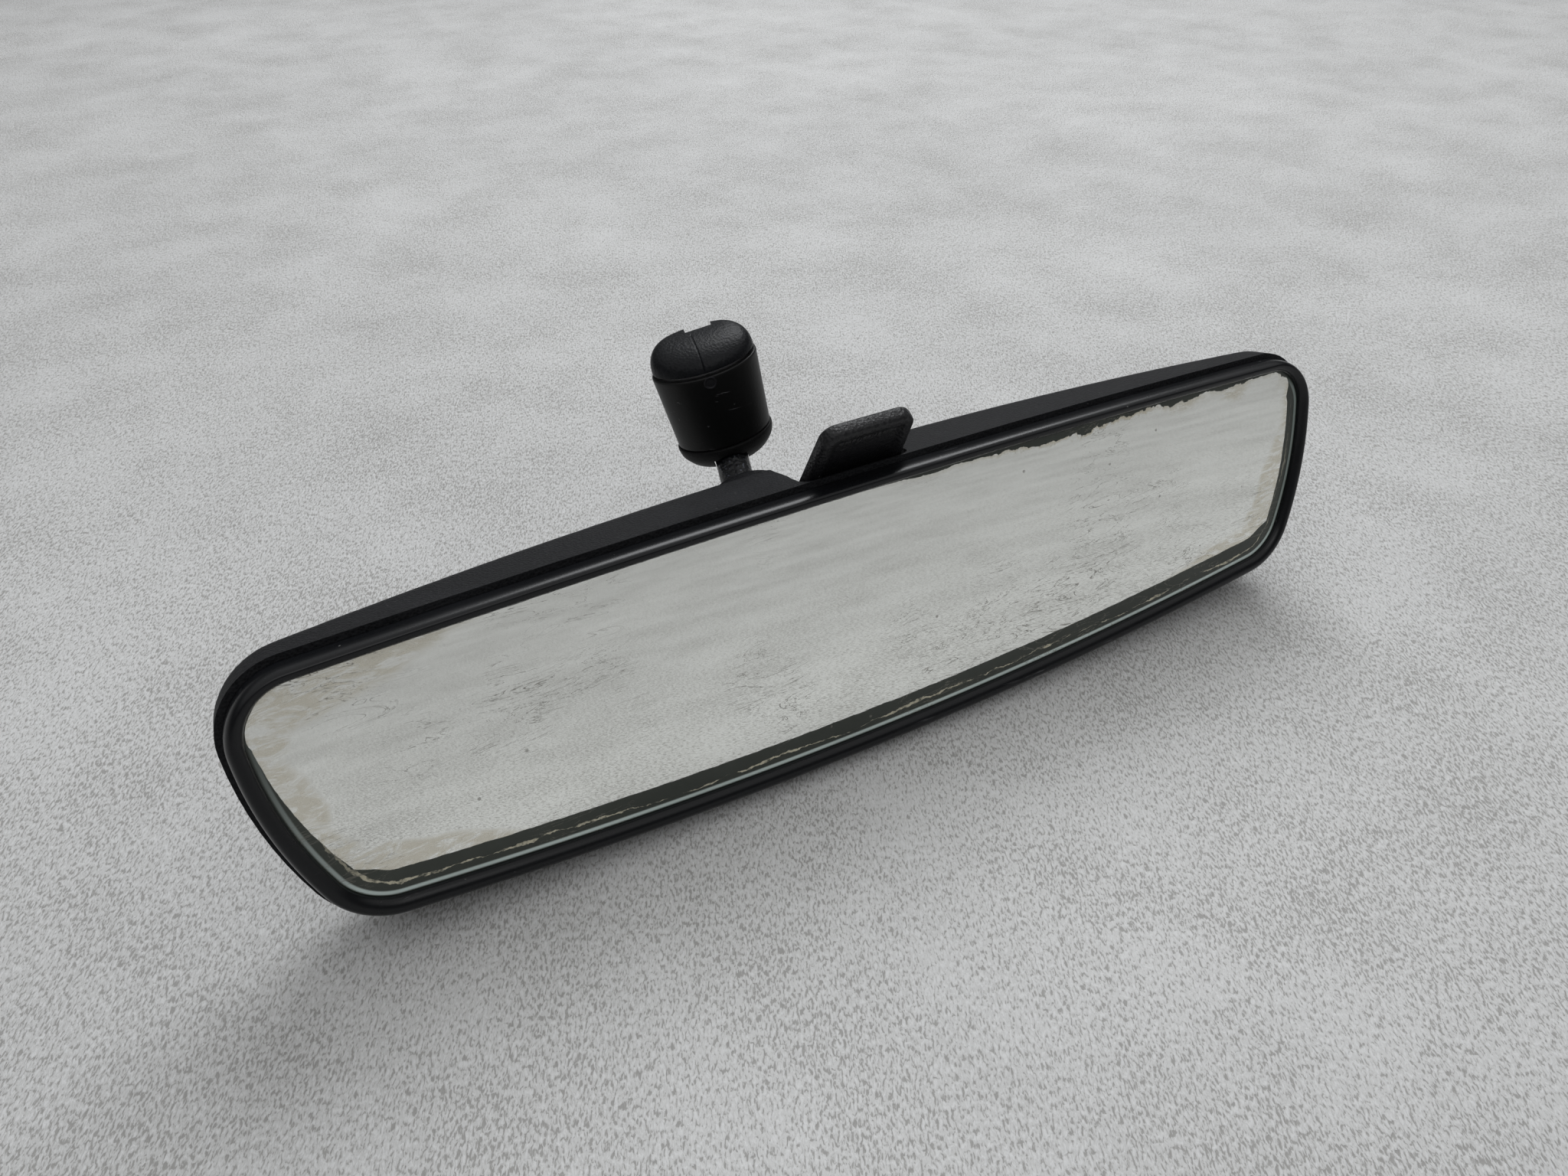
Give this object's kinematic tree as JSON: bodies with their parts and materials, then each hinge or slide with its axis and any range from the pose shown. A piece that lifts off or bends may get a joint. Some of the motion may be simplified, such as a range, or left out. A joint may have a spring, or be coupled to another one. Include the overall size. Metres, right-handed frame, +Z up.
{
  "type": "interior rearview mirror",
  "caption": "Car interior rearview mirror: wide prismatic glass in a black housing with a day/night flip tab, on a short twin-ball arm and an oval windscreen mount column.",
  "frame": {"origin": "centre of the bounding box in plan, on the surface the head's lower edge rests on", "axes": "+X along the mirror to its right seen from the front, -Y towards the viewer, the side the glass faces, +Z up"},
  "size_m": [0.2476, 0.0728, 0.0729],
  "materials": {
    "rim_satin": "smooth satin black moulded plastic",
    "housing_grain": "fine-grained charcoal black moulded plastic",
    "mirror_glass": "clear wedge glass, ground edge",
    "silvering": "reflective coating, eroded along its edges",
    "pad_foam": "thin closed-cell foam sheet",
    "tab_plastic": "textured black moulded plastic",
    "arm_metal": "black painted metal, rough and pitted",
    "sleeve_plastic": "satin black moulded plastic, scuffed",
    "cap_plastic": "fine-grained charcoal black moulded plastic",
    "bowl_plastic": "fine-grained black moulded plastic",
    "pip_metal": "dull dark metal pin head",
    "pin_steel": "plain turned steel",
    "spring_steel": "tempered spring steel",
    "zinc_cast": "die-cast grey metal",
    "seat_nylon": "natural white low-friction plastic"
  },
  "bodies": {
    "mount": {"mount_core": "zinc_cast", "cover_sleeve": "sleeve_plastic", "cover_cap": "cap_plastic", "cover_bowl": "bowl_plastic", "lock_pip": "pip_metal", "seat_plunger": "pin_steel", "seat_spring": "spring_steel", "spring_screw": "pin_steel"},
    "knuckle": {"upper_seat": "seat_nylon"},
    "arm": {"ball_arm": "arm_metal"},
    "yoke": {"lower_seat": "seat_nylon"},
    "bracket": {"socket_bracket": "zinc_cast", "socket_ring": "zinc_cast", "detent_spring": "spring_steel"},
    "head": {"front_bezel": "rim_satin", "rear_housing": "housing_grain", "mirror_glass": "mirror_glass", "silver_layer": "silvering", "backing_pad": "pad_foam", "bracket_pin": "pin_steel", "tab_pin": "pin_steel"},
    "tab": {"flip_tab": "tab_plastic"}
  },
  "joints": [
    {"name": "mount_swing", "type": "hinge", "parent": "mount", "child": "knuckle", "pos_m": [-0.0089, 0.02585, 0.04578], "axis": [0.9079, -0.356, 0.2212], "range_deg": [-2, 45]},
    {"name": "arm_spin", "type": "hinge", "parent": "knuckle", "child": "arm", "pos_m": [-0.0089, 0.02585, 0.04578], "axis": [0.2263, 0.8812, 0.4151], "range_deg": [-30, 30]},
    {"name": "head_tilt", "type": "hinge", "parent": "arm", "child": "yoke", "pos_m": [-0.015, 0.0021, 0.03459], "axis": [1, 0, 0], "range_deg": [-8, 30]},
    {"name": "head_pan", "type": "hinge", "parent": "yoke", "child": "bracket", "pos_m": [-0.015, 0.0021, 0.03459], "axis": [0, 0.2857, 0.9583], "range_deg": [-15, 15]},
    {"name": "day_night", "type": "hinge", "parent": "bracket", "child": "head", "pos_m": [0, -0.01549, 0.01897], "axis": [1, 0, 0], "range_deg": [0, 4.5]},
    {"name": "tab_flip", "type": "hinge", "parent": "head", "child": "tab", "pos_m": [0, -0.00846, 0.04922], "axis": [-1, 0, 0], "range_deg": [0, 36]}
  ],
  "couplings": [
    {"joint": "tab_flip", "follows": "day_night", "ratio": 8}
  ]
}
